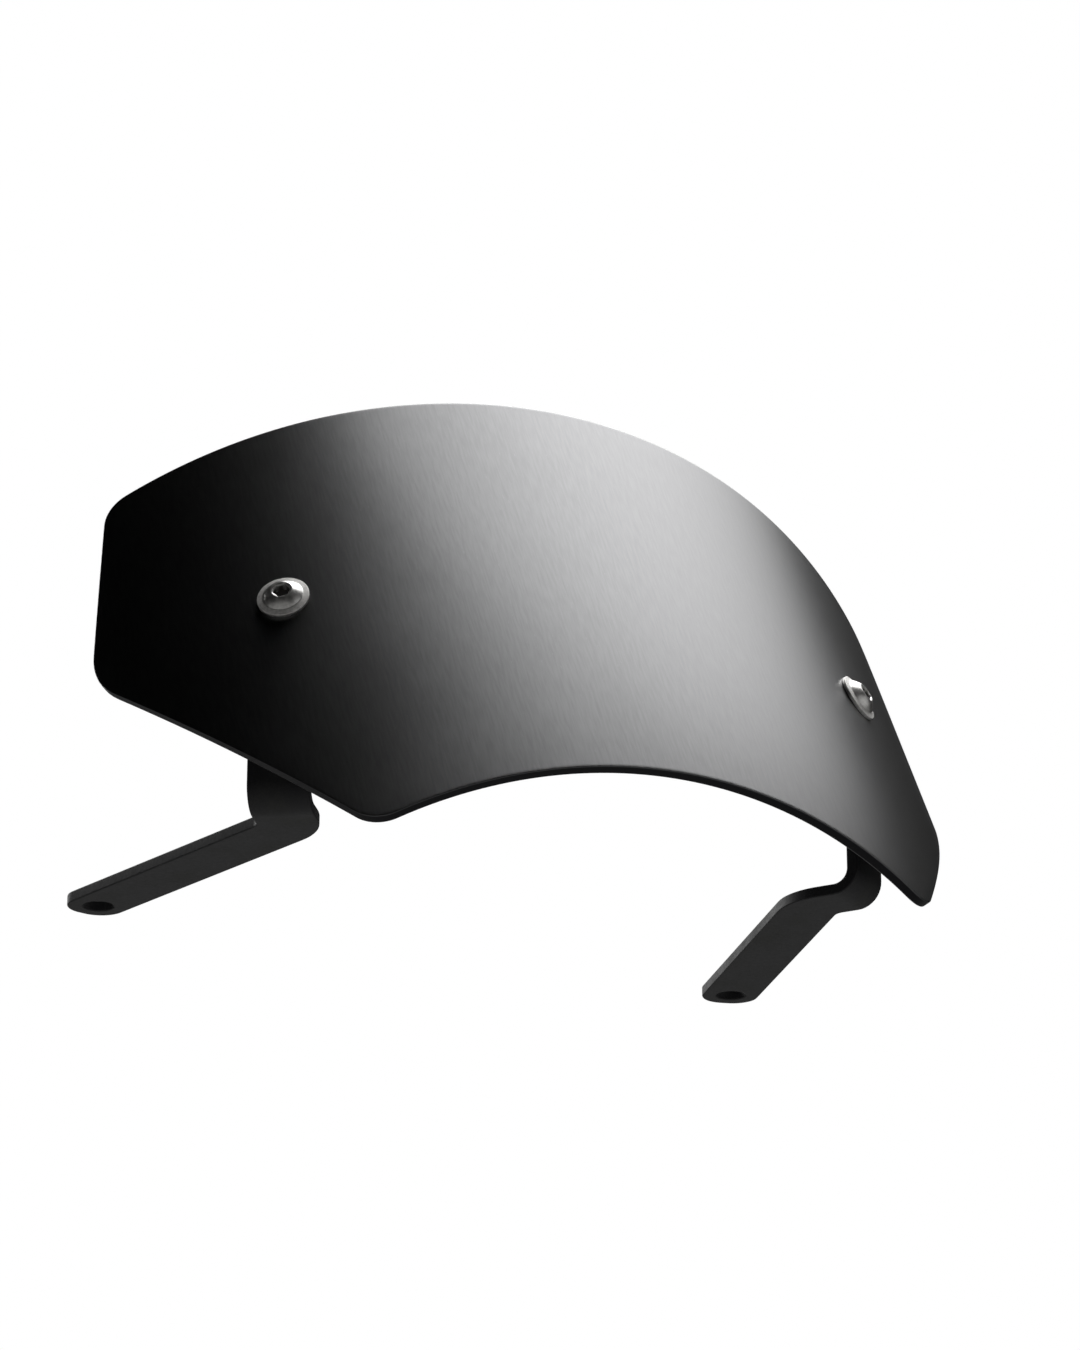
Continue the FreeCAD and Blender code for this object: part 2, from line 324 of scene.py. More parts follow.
# %% [markdown]
# The sheet's finish is satin black anodising over fine brushing. The oxide layer takes the dye, so the
# metal reflects as dark metal and not as paint. The brush marks run up the flat sheet, so they are drawn on
# its flat coordinates and bend with it: long streaks, hairlines and a few short ticks where the belt
# caught. The cut rim was only deburred and is rougher than the faces; its colour is painted darker than
# theirs, as painted shade on the edge.

# %% Black anodised finish
ANODISED_DARK = (0.105, 0.1055, 0.107, 1)
ANODISED_LIGHT = (0.127, 0.127, 0.129, 1)
RIM_SHADE = (0.012, 0.012, 0.013, 1)
STREAK = Vector((0.7, 7, 7)) * MM
HAIRLINE = Vector((0.25, 12, 12)) * MM
CLOUD = Vector((28, 40, 28)) * MM
TICK = Vector((0.6, 2.5, 2.5)) * MM
TICK_LEVELS = (0.66, 0.78)
STREAK_SHARE = 0.55
HAIRLINE_SHARE = 0.25
CLOUD_SHARE = 0.2
TICK_SHARE = 0.3
MARK_LEVELS = (0.3, 0.7)
ANODISED_ROUGHNESS = 0.334
STREAK_GLOSS = 0.05
CLOUD_GLOSS = 0.04
RIM_ROUGHNESS = 0.55
RIM_BAND = (0.05 * MM, 0.35 * MM)
STREAK_DEPTH = 0.002 * MM
HAIRLINE_RELIEF = 0.5


def finish_material(paint, sockets):
    """Close a finish: one shader with its constant values and its varying ones, and the output."""
    shader = paint.node("ShaderNodeBsdfPrincipled", None, sockets)
    paint.node("ShaderNodeOutputMaterial", None, {"Surface": shader})


def raised(height, depth, strength=1.0):
    """Tilt the surface as if a height pattern stood out by depth."""
    return height.node("ShaderNodeBump", None, {"Strength": strength, "Distance": depth, "Height": height})


anodised, paint = new_material("black_anodised")
flat = paint.node("ShaderNodeAttribute", {"attribute_name": "flat"}, output="Vector")
streaks = grains(flat, STREAK)
hairlines = grains(flat, HAIRLINE)
clouds = grains(flat, CLOUD, detail=3.0)
ticks = smooth_step(grains(flat, TICK), *TICK_LEVELS)
depth = flat.node("ShaderNodeSeparateXYZ", None, {0: flat}, "Z") * -1
nearest_face = paint.math("MINIMUM", depth, SHEET - depth)
rim = smooth_step(nearest_face, *RIM_BAND)
long_marks = streaks * STREAK_SHARE + hairlines * HAIRLINE_SHARE
marks = long_marks + clouds * CLOUD_SHARE + ticks * TICK_SHARE
face_colour = mix_colours(smooth_step(marks, *MARK_LEVELS), ANODISED_DARK, ANODISED_LIGHT)
face_roughness = ANODISED_ROUGHNESS + stray(streaks, STREAK_GLOSS) + stray(clouds, CLOUD_GLOSS)
# The rim's colour is painted darker than the faces: painted shade on the edge.
finish_material(paint, {
    "Base Color": mix_colours(rim, face_colour, RIM_SHADE),
    "Metallic": 1.0,
    "Roughness": face_roughness + rim * (RIM_ROUGHNESS - ANODISED_ROUGHNESS),
    "Normal": raised(streaks + hairlines * HAIRLINE_RELIEF, STREAK_DEPTH),
})
print("anodised nodes:", len(anodised.node_tree.nodes))

# %% [markdown]
# The flat pattern of the sheet. Its outline could be a list of many points, but a maker would draw it with
# a few arcs: the wide top, a rounding at each corner, and the arch of the lower edge. Each bend is kept as
# its centre, its radius (negative where the edge is hollow) and the way the edge faces at both ends. The
# straight sides need nothing of their own, because they only join one bend to the next.

# %% Bends of the flat pattern
def facing(angle):
    return Vector((math.cos(angle), math.sin(angle)))


def angle_of(direction):
    return math.atan2(direction.y, direction.x)


def meet_circle(start, direction, centre, radius, turn):
    """Where a line meets a circle: turn is 1 for the far crossing, -1 for the near one."""
    offset = start - centre
    along = offset.dot(direction)
    return start + direction * (turn * math.sqrt(along ** 2 - offset.dot(offset) + radius ** 2) - along)


def half_pattern():
    """Bends of the sheet's right half, from the middle of the top round to the middle of the arch."""
    top = Vector((0, TOP_HEIGHT - TOP_RADIUS))
    arch = Vector((0, ARCH_HEIGHT - ARCH_RADIUS))
    up_the_side = Vector((-math.sin(SIDE_TAPER), math.cos(SIDE_TAPER)))
    down_the_slant = Vector((-math.sin(LOWER_SLANT), -math.cos(LOWER_SLANT)))
    upper_line = SIDE - facing(SIDE_TAPER) * UPPER_ROUND
    tip_line = SIDE - facing(-LOWER_SLANT) * TIP_ROUND
    upper = meet_circle(upper_line, up_the_side, top, TOP_RADIUS - UPPER_ROUND, 1)
    tip = meet_circle(tip_line, down_the_slant, arch, ARCH_RADIUS + TIP_ROUND, -1)
    half_turn = (SIDE_TAPER + LOWER_SLANT) / 2
    lower = SIDE - facing((SIDE_TAPER - LOWER_SLANT) / 2) * (LOWER_ROUND / math.cos(half_turn))
    upper_angle = angle_of(upper - top)
    tip_angle = angle_of(arch - tip)
    return [
        (top, TOP_RADIUS, math.pi / 2, upper_angle),
        (upper, UPPER_ROUND, upper_angle, SIDE_TAPER),
        (lower, LOWER_ROUND, SIDE_TAPER, -LOWER_SLANT),
        (tip, TIP_ROUND, -LOWER_SLANT, tip_angle),
        (arch, -ARCH_RADIUS, tip_angle, -math.pi / 2),
    ]


print("bends of one half:", len(half_pattern()))

# %% Trace an outline
ARC_STEP = 3 * MM
ARC_TURN = math.radians(6)
HOLE_STEPS = 48
SAME_PLACE = 0.02 * MM


def trace(bends):
    """Points along the bends, each with the way the edge faces there; bends that touch share a point."""
    traced = []
    for centre, radius, start, end in bends:
        steps = math.ceil(max(abs((end - start) * radius) / ARC_STEP, abs(end - start) / ARC_TURN))
        for k in range(steps + 1):
            way = facing(start + (end - start) * k / steps)
            point = centre + way * radius
            if not traced or (point - traced[-1][0]).length > SAME_PLACE:
                traced.append((point, way))
    return traced


def other_half(traced):
    """The same points mirrored to the left, in the order that closes the outline."""
    return [(Vector((-p.x, p.y)), Vector((-way.x, way.y))) for p, way in traced[-2:0:-1]]


def round_hole(centre, diameter):
    """A hole's rim, which faces its own middle."""
    ways = [facing(-2 * math.pi * k / HOLE_STEPS) for k in range(HOLE_STEPS)]
    return [(centre - way * (diameter / 2), way) for way in ways]


right_edge = trace(half_pattern())
sheet_outline = right_edge + other_half(right_edge)
screw_spots = [Vector((side * SCREW_SPOT.x, SCREW_SPOT.y)) for side in (1, -1)]
print("outline points:", len(sheet_outline))

# %% [markdown]
# A plate from an outline. Real sheet is never knife-edged: its rim is broken all round, and that narrow
# rounding is what catches light. So the plate gets a rim of several rows from the front face round to the
# back, the two faces are filled between the rims, and the plate is cut into strips where it is to bend.

# %% Plate with a rounded rim
RIM_ROUND = 0.35 * MM
RIM_QUARTER = [math.radians(angle) for angle in (0, 30, 60, 90)]
FACE_MARGIN = 3


def rim_section(thickness, rounding):
    """Rows of the rim, as how far in from the edge and how far from the front face."""
    front = [(rounding * FACE_MARGIN, 0)]
    front += [(rounding * (1 - math.sin(a)), rounding * (1 - math.cos(a))) for a in RIM_QUARTER]
    return front + [(inset, thickness - deep) for inset, deep in reversed(front)]


def make_plate(loops, thickness, rounding):
    """A flat sheet with its front face at z = 0 and its back at z = -thickness."""
    plate = bmesh.new()
    front, back = [], []
    for loop in loops:
        rows = [[plate.verts.new((*(p - way * inset), -deep)) for p, way in loop]
                for inset, deep in rim_section(thickness, rounding)]
        for above, below in zip(rows, rows[1:]):
            for k in range(len(loop)):
                plate.faces.new((above[k - 1], above[k], below[k], below[k - 1]))
        front += [plate.edges.get((rows[0][k - 1], rows[0][k])) for k in range(len(loop))]
        back += [plate.edges.get((rows[-1][k - 1], rows[-1][k])) for k in range(len(loop))]
    for edges in (front, back):
        bmesh.ops.triangle_fill(plate, use_beauty=True, edges=edges)
    bmesh.ops.recalc_face_normals(plate, faces=plate.faces)
    return plate


def cut_strips(plate, start, end, count):
    """Cut a plate straight across at even steps, so that it can bend there."""
    for k in range(count + 1):
        place = start + (end - start) * k / count
        geometry = plate.verts[:] + plate.edges[:] + plate.faces[:]
        bmesh.ops.bisect_plane(plate, geom=geometry, dist=SAME_PLACE, plane_co=(place, 0, 0),
                               plane_no=(1, 0, 0))


print("rows round the sheet's rim:", len(rim_section(SHEET, RIM_ROUND)))

# %% Flat sheet
ROLL_STRIPS = 120

sheet_holes = [round_hole(spot, HOLE) for spot in screw_spots]
flat_sheet = make_plate([sheet_outline] + sheet_holes, SHEET, RIM_ROUND)
half_width = max(p.x for p, way in sheet_outline)
cut_strips(flat_sheet, -half_width, half_width, ROLL_STRIPS)
print("flat sheet faces:", len(flat_sheet.faces), "width, mm:", round(2 * half_width / MM, 1))

# %% [markdown]
# The roll follows one rule: a distance along the flat sheet becomes an angle round an upright axis, and
# then the whole roll leans back. A Simple Deform modifier could bend it too, but the screws have to sit
# square on the same curve, so the rule is a node group of its own that the sheet and the fasteners share.

# %% The rule of the roll
GEOMETRY = "NodeSocketGeometry"
VECTOR = "NodeSocketVector"
NUMBER = "NodeSocketFloat"
MATERIAL = "NodeSocketMaterial"


def new_tree(name, inputs, outputs):
    """An empty node group with named sockets; returns a wire to build with and its inputs."""
    tree = bpy.data.node_groups.new(name, "GeometryNodeTree")
    for direction, sockets in (("INPUT", inputs), ("OUTPUT", outputs)):
        for label, kind in sockets.items():
            tree.interface.new_socket(label, in_out=direction, socket_type=kind)
    wire = Wire(tree)
    return wire, {label: wire.node("NodeGroupInput", output=label) for label in inputs}


def combine(x, y, z):
    sockets = {"X": x, "Y": y, "Z": z}
    wire = next(value for value in sockets.values() if isinstance(value, Wire))
    return wire.node("ShaderNodeCombineXYZ", None, sockets)


def split(vector):
    return [vector.node("ShaderNodeSeparateXYZ", None, {0: vector}, axis) for axis in "XYZ"]


ROLL_INPUTS = {"Roll radius": NUMBER, "Lean": NUMBER, "Foot": VECTOR}
roll, given = new_tree("on_the_roll", {"Flat": VECTOR, **ROLL_INPUTS}, {"Place": VECTOR, "Inward": VECTOR})
along, up, out = split(given["Flat"])
angle = along / given["Roll radius"]
sine, cosine = roll.math("SINE", angle), roll.math("COSINE", angle)
reach = given["Roll radius"] + out
lean_back = {"Center": (0, 0, 0), "Angle": given["Lean"] * -1}
upright = combine(reach * sine, given["Roll radius"] - reach * cosine, up)
to_the_axis = combine(sine * -1, cosine, 0.0)
turn = {"rotation_type": "X_AXIS"}
leaning = roll.node("ShaderNodeVectorRotate", turn, {"Vector": upright, **lean_back})
inwards = roll.node("ShaderNodeVectorRotate", turn, {"Vector": to_the_axis, **lean_back})
placed = vector_maths("ADD", leaning, given["Foot"])
roll.node("NodeGroupOutput", None, {"Place": placed, "Inward": inwards})
print("roll rule nodes:", len(roll.tree.nodes))

# %% Tree that rolls the sheet
def place_on_roll(wire, given, output):
    """Use the rule of the roll on the place of each point."""
    sockets = {name: given[name] for name in ROLL_INPUTS}
    sockets["Flat"] = wire.node("GeometryNodeInputPosition")
    return wire.node("GeometryNodeGroup", {"node_tree": roll.tree}, sockets, output)


def store(geometry, name, value):
    """Keep a vector on the mesh for the finish to read."""
    return geometry.node("GeometryNodeStoreNamedAttribute", {"data_type": "FLOAT_VECTOR"},
                         {"Geometry": geometry, "Name": name, "Value": value})


def close_tree(geometry, material):
    """End a tree as the export needs it: real faces with a material."""
    solid = geometry.node("GeometryNodeRealizeInstances", None, {"Geometry": geometry})
    dressed = solid.node("GeometryNodeSetMaterial", None, {"Geometry": solid, "Material": material})
    dressed.node("NodeGroupOutput", None, {"Geometry": dressed})


rolled, given = new_tree("roll_the_sheet", {"Geometry": GEOMETRY, **ROLL_INPUTS, "Finish": MATERIAL},
                         {"Geometry": GEOMETRY})
marked = store(given["Geometry"], "flat", rolled.node("GeometryNodeInputPosition"))
bent = rolled.node("GeometryNodeSetPosition", None,
                   {"Geometry": marked, "Position": place_on_roll(rolled, given, "Place")})
close_tree(bent, given["Finish"])
print("sheet tree nodes:", len(rolled.tree.nodes))

# %% [markdown]
# A tree on an object is only a recipe, and the export wants plain meshes. So the shaped object is evaluated
# once, its result is copied to a new object at the origin, and the working object goes. The new piece then
# takes the place of its solids: it rides on the part's one body, and keeps the material of its finish.

# %% From a tree to a plain mesh
SHARP = math.radians(35)


def flat_object(name, form, finish):
    """A working object that holds a bmesh until its tree has shaped it."""
    mesh = bpy.data.meshes.new(name + "_blank")
    form.to_mesh(mesh)
    form.free()
    mesh.materials.append(finish)
    blank = bpy.data.objects.new(name + "_blank", mesh)
    bpy.context.scene.collection.objects.link(blank)
    return blank


def shape_by(blank, wire, values):
    """Add a tree as a modifier and set its inputs by their identifiers."""
    modifier = blank.modifiers.new("shape", "NODES")
    modifier.node_group = wire.tree
    for item in wire.tree.interface.items_tree:
        if item.in_out == "INPUT" and item.name in values:
            modifier[item.identifier] = values[item.name]


def settle(blank, name, nodes):
    """Turn the shaped object into a plain mesh that stands for its solids."""
    evaluated = blank.evaluated_get(bpy.context.evaluated_depsgraph_get())
    mesh = bpy.data.meshes.new_from_object(evaluated)
    mesh.name = name
    piece = bpy.data.objects.new(name, mesh)
    bpy.context.scene.collection.objects.link(piece)
    bpy.data.objects.remove(blank)
    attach(piece, "root")
    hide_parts(*nodes)
    mesh.calc_loop_triangles()
    print(name, "triangles:", len(mesh.loop_triangles), "finish:", mesh.materials[0].name)


def mark_sharp(form):
    """Shade faces smoothly except across sharp edges."""
    for face in form.faces:
        face.smooth = True
    for edge in form.edges:
        edge.smooth = edge.calc_face_angle(0) < SHARP


def steady_shading(blank):
    """Let the large faces set the shading, so that slivers left by the cuts don't catch light."""
    blank.modifiers.new("steady_shading", "WEIGHTED_NORMAL").keep_sharp = True


print("edges are sharp from, degrees:", round(math.degrees(SHARP)))

# %% Rolled sheet
ROLL_VALUES = {"Roll radius": ROLL_RADIUS, "Lean": SHEET_LEAN, "Foot": SHEET_FOOT}

mark_sharp(flat_sheet)
blank = flat_object("screen_sheet", flat_sheet, anodised)
shape_by(blank, rolled, {**ROLL_VALUES, "Finish": anodised})
steady_shading(blank)
settle(blank, "screen_sheet", ["screen"])

# %% [markdown]
# The finish of the fasteners is stainless steel, cut on a lathe. The tool leaves rings, so the marks follow
# the distance from each piece's own axis, which its tree stores on the mesh. Fine wear scatters part of the
# light, so the steel isn't a full mirror, and a screw's flange is duller than its dome. The socket is
# painted dark inside, as painted shade of its recess.

# %% Zones of a screw's head
DOME = 10.5 * MM
HEAD_HEIGHT = 3.3 * MM
SOCKET = 4 * MM
SOCKET_ZONE = (SOCKET * 0.58, SOCKET * 0.50)
BELOW_TOP_ZONE = (0.1 * MM - HEAD_HEIGHT, 0.8 * MM - HEAD_HEIGHT)
HEAD_ZONE = (-0.4 * MM, -0.8 * MM)
FLANGE_ZONE = (DOME / 2, DOME / 2 + 0.2 * MM)
print("screw head, mm: dome", round(DOME / MM, 1), "height", round(HEAD_HEIGHT / MM, 1))

# %% Turned stainless finish
STEEL = (0.62, 0.61, 0.59, 1)
STEEL_DULL = (0.44, 0.435, 0.425, 1)
SOCKET_SHADE = (0.035, 0.033, 0.030, 1)
STEEL_METALLIC = 0.92
SHADE_METALLIC_DROP = 0.7
WEAR_ON_FLANGE = 0.2
STEEL_ROUGHNESS = 0.34
FLANGE_ROUGHNESS = 0.62
SHADE_ROUGHER = 0.45
RING_GLOSS = 0.12
SPECK_GLOSS = 0.10
TOOL_RING = 0.16 * MM
TOOL_SLANT = 0.5
TOOL_DEPTH = 0.004 * MM
SPECK = Vector((1.1, 1.1, 1.1)) * MM
SPECK_SHARE = 0.6
RING_SHARE = 0.4
STEEL_LEVELS = (0.35, 0.65)

stainless, paint = new_material("turned_stainless")
own = paint.node("ShaderNodeAttribute", {"attribute_name": "own_place"}, output="Vector")
from_axis = vector_maths("MULTIPLY", own, (1, 1, 0))
radius = from_axis.node("ShaderNodeVectorMath", {"operation": "LENGTH"}, {0: from_axis}, "Value")
height = own.node("ShaderNodeSeparateXYZ", None, {0: own}, "Z")
rings = paint.node("ShaderNodeTexNoise", {"noise_dimensions": "1D"},
                   {"W": (radius + height * TOOL_SLANT) / TOOL_RING, "Scale": 1.0, "Detail": 2.0})
specks = grains(own, SPECK)
on_head = smooth_step(height, *HEAD_ZONE)
# Inside the socket the colour is painted dark, with less metal and more roughness: painted shade of the
# recess.
socket_shade = smooth_step(radius, *SOCKET_ZONE) * smooth_step(height, *BELOW_TOP_ZONE) * on_head
flange = smooth_step(radius, *FLANGE_ZONE) * on_head
duller = flange * (FLANGE_ROUGHNESS - STEEL_ROUGHNESS) + socket_shade * SHADE_ROUGHER
marks = specks * SPECK_SHARE + rings * RING_SHARE
steel = mix_colours(smooth_step(marks, *STEEL_LEVELS), STEEL_DULL, STEEL)
finish_material(paint, {
    "Base Color": mix_colours(socket_shade, steel, SOCKET_SHADE),
    "Metallic": STEEL_METALLIC - socket_shade * SHADE_METALLIC_DROP - flange * WEAR_ON_FLANGE,
    "Roughness": STEEL_ROUGHNESS + stray(rings, RING_GLOSS) + stray(specks, SPECK_GLOSS) + duller,
    "Normal": raised(rings, TOOL_DEPTH),
})
print("stainless nodes:", len(stainless.node_tree.nodes))

# %% [markdown]
# Turned pieces. A Screw modifier could spin a profile, but here a six-sided socket, a nut's flats and a
# real thread sit on the same axis. So a form is a stack of rows round that axis, and each row is a small
# rule that gives the radius and the height at every angle. Rows with a different rule, such as a circle
# and a hexagon, still join face to face.

# %% Rows round an axis
TURN_STEPS = 72
TURN_ANGLES = [2 * math.pi * k / TURN_STEPS for k in range(TURN_STEPS)]
SIXTH = math.pi / 3


def circle(diameter, height):
    return lambda angle: (diameter / 2, height)


def six_sides(across_flats, height, widest=math.inf):
    """A hexagon, turned down to a widest diameter."""
    def row(angle):
        from_flat = angle % SIXTH - SIXTH / 2
        return min(across_flats / 2 / math.cos(from_flat), widest / 2), height
    return row


def lathe(rows, closed=False):
    """Join rows to a skin; without closed, both ends run to a point on the axis."""
    form = bmesh.new()
    made = []
    for row in rows:
        places = [row(angle) for angle in TURN_ANGLES]
        made.append([form.verts.new((radius * math.cos(angle), radius * math.sin(angle), height))
                     for angle, (radius, height) in zip(TURN_ANGLES, places)])
    joints = list(zip(made, made[1:]))
    if closed:
        joints.append((made[-1], made[0]))
    for first, second in joints:
        for k in range(TURN_STEPS):
            form.faces.new((first[k - 1], first[k], second[k], second[k - 1]))
    if not closed:
        for end in (made[0], made[-1]):
            bmesh.ops.poke(form, faces=[form.faces.new(end)])
    bmesh.ops.recalc_face_normals(form, faces=form.faces)
    return form, made


print("steps round an axis:", TURN_STEPS)

# %% [markdown]
# Every fastener comes twice, once on each side. Copies could be placed by hand, but this tree puts an
# instance on two points, asks the rule of the roll where each point lies, and turns the copy square to the
# sheet there. The edges that a maker would break are marked first, so that a Bevel rounds only those.

# %% Tree that sets a pair of fasteners on the roll
pair_inputs = {"Geometry": GEOMETRY, **ROLL_INPUTS, "First spot": VECTOR, "To the other": VECTOR,
               "Finish": MATERIAL}
pair, given = new_tree("pair_on_the_roll", pair_inputs, {"Geometry": GEOMETRY})
marked = store(given["Geometry"], "own_place", pair.node("GeometryNodeInputPosition"))
one = pair.node("GeometryNodeGeometryToInstance", None, {"Geometry": marked})
spots = pair.node("GeometryNodeMeshLine", {"mode": "OFFSET"},
                  {"Count": 2, "Start Location": given["First spot"], "Offset": given["To the other"]})
up_the_sheet = pair.node("ShaderNodeVectorRotate", {"rotation_type": "X_AXIS"},
                         {"Vector": (0, 0, 1), "Center": (0, 0, 0), "Angle": given["Lean"] * -1})
square_on = pair.node("FunctionNodeAxesToRotation", {"primary_axis": "Z", "secondary_axis": "Y"},
                      {"Primary Axis": place_on_roll(pair, given, "Inward"),
                       "Secondary Axis": up_the_sheet})
both = pair.node("GeometryNodeInstanceOnPoints", None,
                 {"Points": spots, "Instance": one, "Rotation": square_on})
moved = pair.node("GeometryNodeSetPosition", None,
                  {"Geometry": both, "Position": place_on_roll(pair, given, "Place")})
close_tree(moved, given["Finish"])
print("pair tree nodes:", len(pair.tree.nodes))

# %% Set a pair of fasteners
BEVEL_SEGMENTS = 2


def set_pair(name, form, broken_edge, finish):
    """Break a fastener's marked edges, set one on each screw spot and let them stand for both solids."""
    mark_sharp(form)
    blank = flat_object(name, form, finish)
    bevel = blank.modifiers.new("broken_edges", "BEVEL")
    bevel.width = broken_edge
    bevel.segments = BEVEL_SEGMENTS
    bevel.limit_method = "WEIGHT"
    spot = Vector((SCREW_SPOT.x, SCREW_SPOT.y, 0))
    shape_by(blank, pair, {**ROLL_VALUES, "First spot": spot, "To the other": Vector((-2 * spot.x, 0, 0)),
                           "Finish": finish})
    settle(blank, name + "s", [name + "_right", name + "_left"])


def weigh_edges(form, rows):
    """Mark the sharp edges between these rows for the bevel."""
    weight = form.edges.layers.float.new("bevel_weight_edge")
    chosen = {vert for row in rows for vert in row}
    for edge in form.edges:
        if edge.calc_face_angle(0) > SHARP and chosen.issuperset(edge.verts):
            edge[weight] = 1.0


print("screws stand apart, flat, mm:", round(2 * SCREW_SPOT.x / MM, 1))

# %% [markdown]
# The screw: a button head that stands on a wide flange, with a hex socket that ends in a drill point. The
# dome is part of a ball. The thread is real where it can be seen behind the nut: on each row the radius
# goes up and down once a turn, and the next row is a step further round, which makes the helix.

# %% Screws
FLANGE = 13.6 * MM
FLANGE_EDGE = 0.9 * MM
DOME_FOOT = 1.3 * MM
DOME_FLAT = 5.6 * MM
DOME_ROWS = 8
DOME_CROWDING = 1.5
SOCKET_DEPTH = 2.1 * MM
SOCKET_CORNERS = SOCKET * 1.155
SOCKET_CHAMFER = 0.25 * MM
DRILL = SOCKET * 0.9
DRILL_POINT = 0.5 * MM
DRILL_TIP = 0.2 * MM
PITCH = 1.0 * MM
THREAD_DEPTH = 0.61 * MM
THREAD_CHAMFER = 0.7 * MM
THREAD_SLOPE = 2
THREAD_CREST = 0.4
ROWS_PER_TURN = 8
SCREW_EDGE = 0.12 * MM


def dome_rows(count):
    """Rows of the ball from the flat top, where they are close, down to the foot of the dome."""
    top, foot = Vector((DOME_FLAT / 2, -HEAD_HEIGHT)), Vector((DOME / 2, -DOME_FOOT))
    centre = (top.length_squared - foot.length_squared) / (2 * (top.y - foot.y))
    ball = math.hypot(foot.x, foot.y - centre)
    heights = [top.y + (foot.y - top.y) * (k / count) ** DOME_CROWDING for k in range(count + 1)]
    return [circle(2 * math.sqrt(ball ** 2 - (height - centre) ** 2), height) for height in heights]


def thread_row(height):
    """A row across the thread, where the groove is a step further round than on the row before."""
    def row(angle):
        turn = (height / PITCH - angle / (2 * math.pi)) % 1
        groove = min(max(THREAD_SLOPE * abs(2 * turn - 1) - THREAD_CREST, 0), 1)
        to_end = max(height - (SCREW_END - THREAD_CHAMFER), 0)
        return min(THREAD / 2 - THREAD_DEPTH * groove, THREAD / 2 - to_end), height
    return row


floor_of_socket = SOCKET_DEPTH - HEAD_HEIGHT
socket_rows = [circle(DRILL_TIP, floor_of_socket + DRILL_POINT), circle(DRILL, floor_of_socket),
               six_sides(SOCKET, floor_of_socket), six_sides(SOCKET, SOCKET_CHAMFER - HEAD_HEIGHT),
               circle(SOCKET_CORNERS + SOCKET_CHAMFER, -HEAD_HEIGHT)]
flange_rows = [circle(FLANGE, -FLANGE_EDGE), circle(FLANGE, 0), circle(THREAD, 0)]
head_rows = socket_rows + dome_rows(DOME_ROWS) + flange_rows
shank_end = PAD_BACK
thread_rows = math.ceil((SCREW_END - shank_end) / PITCH * ROWS_PER_TURN)
tail = [thread_row(shank_end + (SCREW_END - shank_end) * k / thread_rows) for k in range(thread_rows + 1)]

screw, rows = lathe(head_rows + [circle(THREAD, shank_end - PITCH / 4)] + tail)
weigh_edges(screw, rows[:len(head_rows)])
set_pair("screen_screw", screw, SCREW_EDGE, stainless)

# %% [markdown]
# Washer and nut. The washer is stamped, so its edges are rounder than a turned piece's. The nut is a
# hexagon whose corners are turned down by a cone, which leaves the curved lines at the top of each flat:
# every row there is the smaller of the hexagon and the cone. Its collar is rolled in over a nylon ring.

# %% Washers and nuts
WASHER = 12 * MM
WASHER_EDGE = 0.25 * MM
NUT = 10 * MM
NUT_EDGE = 0.08 * MM
NUT_CHAMFER = math.radians(30)
NUT_COLLAR = 9.2 * MM
NUT_LIP = 0.5 * MM
LIP_SHOULDER = 0.4 * MM
LIP_TURNED_IN = 0.25 * MM
LOCK_RING = 7.8 * MM
CONE_ROWS = 6

washer, rows = lathe([circle(BORE, PAD_BACK), circle(WASHER, PAD_BACK), circle(WASHER, NUT_SEAT),
                      circle(BORE, NUT_SEAT)], closed=True)
weigh_edges(washer, rows)
set_pair("flat_washer", washer, WASHER_EDGE, stainless)

hex_end = NUT_SEAT + NUT_HEX_HEIGHT
corner_width = NUT * 2 / math.sqrt(3)
cone_height = (corner_width - NUT) / 2 * math.tan(NUT_CHAMFER)
shares = [k / CONE_ROWS for k in range(CONE_ROWS + 1)]
widths = [NUT + (corner_width - NUT) * share for share in shares]
lower_cone = [six_sides(NUT, NUT_SEAT + cone_height * share, width) for share, width in zip(shares, widths)]
upper_cone = [six_sides(NUT, hex_end - cone_height * share, width) for share, width in zip(shares, widths)]
collar = [circle(NUT_COLLAR, hex_end), circle(NUT_COLLAR, NUT_END - 2 * NUT_LIP),
          circle(NUT_COLLAR - LIP_TURNED_IN, NUT_END - LIP_SHOULDER),
          circle(NUT_COLLAR - 2 * NUT_LIP, NUT_END), circle(BORE + NUT_LIP, NUT_END)]
inside = [circle(BORE, NUT_END - NUT_LIP), circle(LOCK_RING, NUT_END - NUT_LIP), circle(LOCK_RING, hex_end),
          circle(BORE, hex_end), circle(BORE, NUT_SEAT + NUT_LIP), circle(BORE + 2 * NUT_LIP, NUT_SEAT)]
nut, rows = lathe(lower_cone + upper_cone[::-1] + collar + inside, closed=True)
weigh_edges(nut, rows[-len(collar + inside):])
set_pair("lock_nut", nut, NUT_EDGE, stainless)

# %% [markdown]
# The nylon ring inside the nut is a moulded plastic that the thread has scuffed. The rubber spacer behind
# the sheet is matt black with a fine moulded grain. One function makes both finishes, because they differ
# only in colour, gloss and depth of grain. Both pieces are soft, so their edges are wide and round.

# %% Nylon and rubber finishes
NYLON = (0.045, 0.125, 0.42, 1)
NYLON_SCUFFED = (0.16, 0.27, 0.55, 1)
RUBBER = (0.016, 0.016, 0.017, 1)
RUBBER_WORN = (0.048, 0.047, 0.045, 1)
NYLON_ROUGHNESS = 0.42
RUBBER_ROUGHNESS = 0.75
NYLON_GRAIN_DEPTH = 0.01 * MM
RUBBER_GRAIN_DEPTH = 0.02 * MM
MOULD_GRAIN = Vector((0.35, 0.35, 0.35)) * MM
GRAIN_GLOSS = 0.08
SCUFF = Vector((1.6, 1.6, 0.5)) * MM
SCUFF_LEVELS = (0.45, 0.75)
SCUFF_ROUGHER = 0.12


